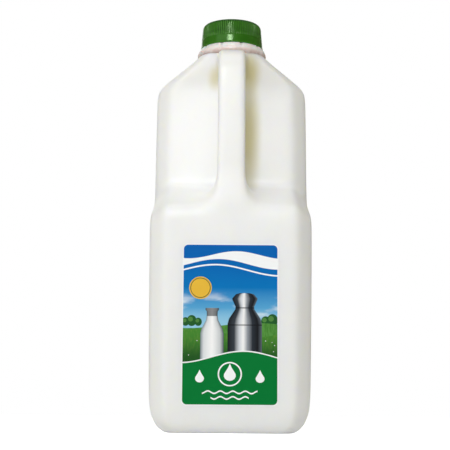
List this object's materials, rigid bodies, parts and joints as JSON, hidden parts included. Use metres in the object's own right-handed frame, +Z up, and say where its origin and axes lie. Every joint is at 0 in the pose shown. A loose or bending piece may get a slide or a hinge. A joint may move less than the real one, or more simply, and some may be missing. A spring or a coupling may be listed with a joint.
{
  "type": "plastic milk jug",
  "caption": "Tall square blow-moulded plastic milk jug with a moulded front handle over a finger gap, a round beaded neck, a ribbed screw cap and a printed front label.",
  "frame": {"origin": "centre of the footprint at the base's standing ring, under the neck axis", "axes": "+Z up along the neck, -Y towards the handle and the label, +X to the right as seen from the front"},
  "size_m": [0.0974, 0.1056, 0.26],
  "materials": {
    "jug_plastic": "milky white translucent blow-moulded polyethylene, soft sheen, filled with milk",
    "cap_plastic": "dark green moulded plastic, semi-gloss",
    "label_film": "printed film with a blue sky, green hills and a white border, satin"
  },
  "bodies": {
    "root": {"jug": "jug_plastic", "cap": "cap_plastic", "label": "label_film"}
  },
  "joints": []
}
